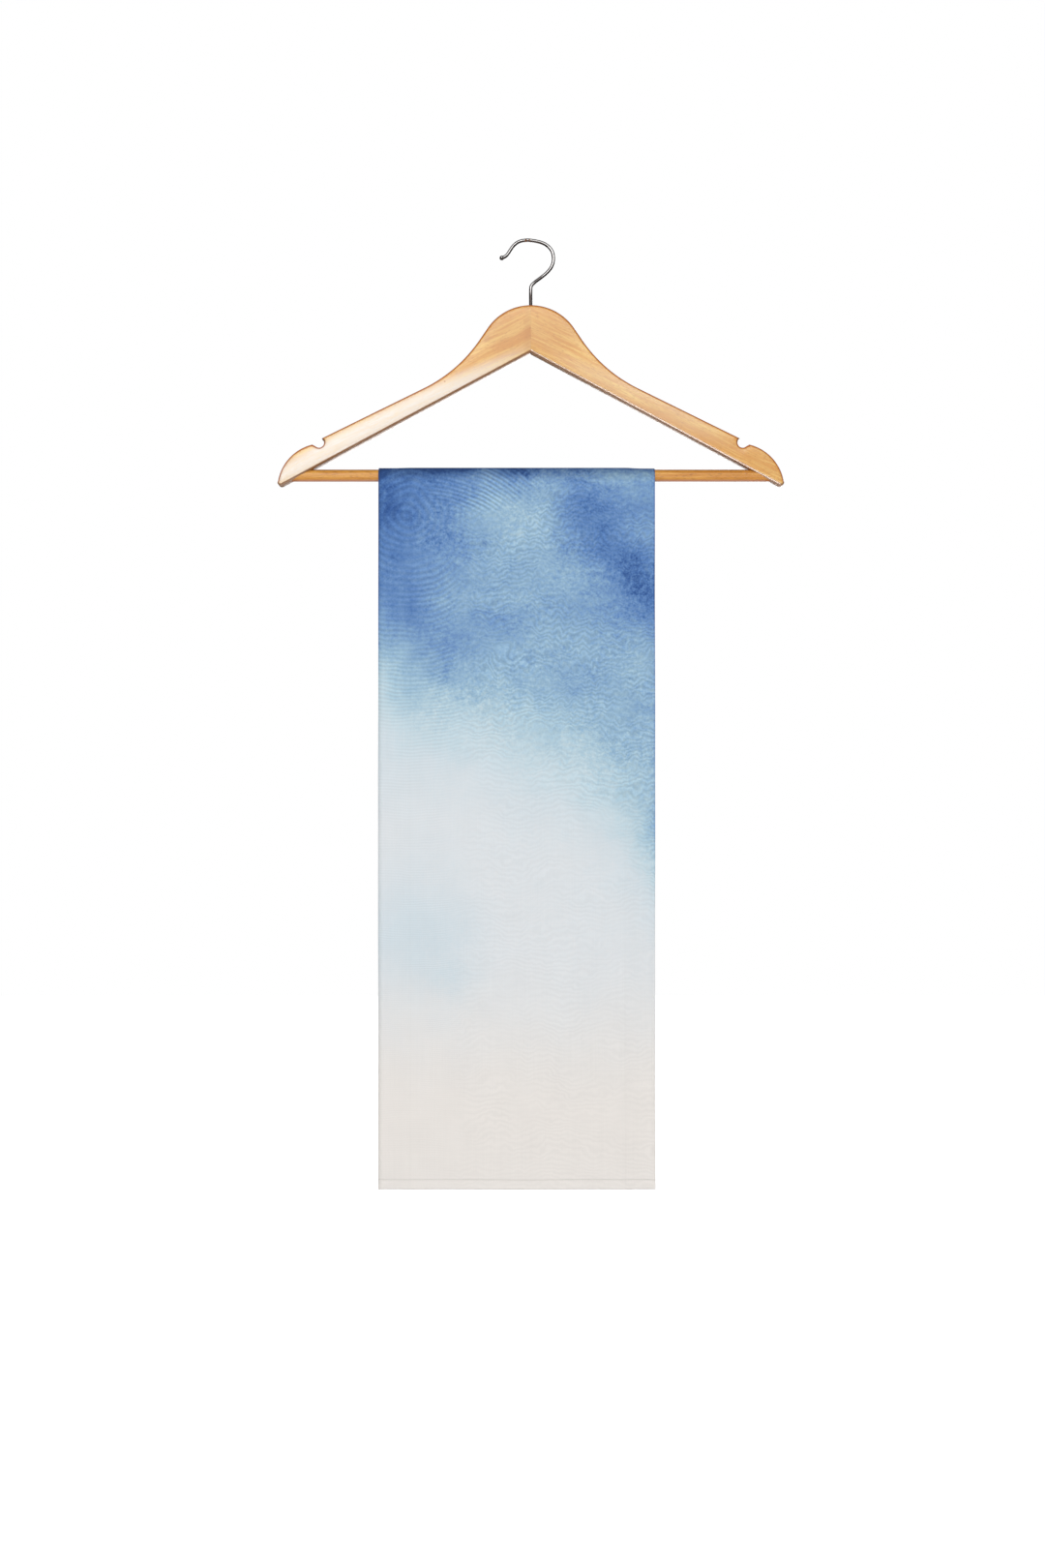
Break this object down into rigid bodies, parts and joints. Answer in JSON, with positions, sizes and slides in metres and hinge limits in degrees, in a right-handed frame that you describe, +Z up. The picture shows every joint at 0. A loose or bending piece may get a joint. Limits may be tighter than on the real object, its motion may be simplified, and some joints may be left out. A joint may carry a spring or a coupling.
{
  "type": "folded dupatta on a wooden hanger",
  "caption": "Sheer printed dupatta folded flat into a long panel and hung over the bar of a wooden hanger with a wire hook.",
  "frame": {"origin": "inside top of the hook, where a rail carries the hanger", "axes": "+Z up, the cloth's front faces -Y, +X along the hanger's arm on the right as seen from the front"},
  "size_m": [0.445, 0.0235, 0.8352],
  "materials": {
    "cloth": "sheer plain weave, matt with a faint sheen, printed in a soft blue wash on off-white",
    "arms_wood": "clear lacquered, golden, grain along each arm",
    "bar_wood": "clear lacquered, turned round bar",
    "hook_wire": "bright plated wire"
  },
  "bodies": {
    "root": {"front_outer_ply": "cloth", "front_hem": "cloth", "bend_outer_ply": "cloth", "back_outer_ply": "cloth", "front_inner_plies": "cloth", "bend_inner_plies": "cloth", "back_inner_plies": "cloth", "arm_left": "arms_wood", "arm_right": "arms_wood", "trouser_bar": "bar_wood", "hook": "hook_wire"}
  },
  "joints": []
}
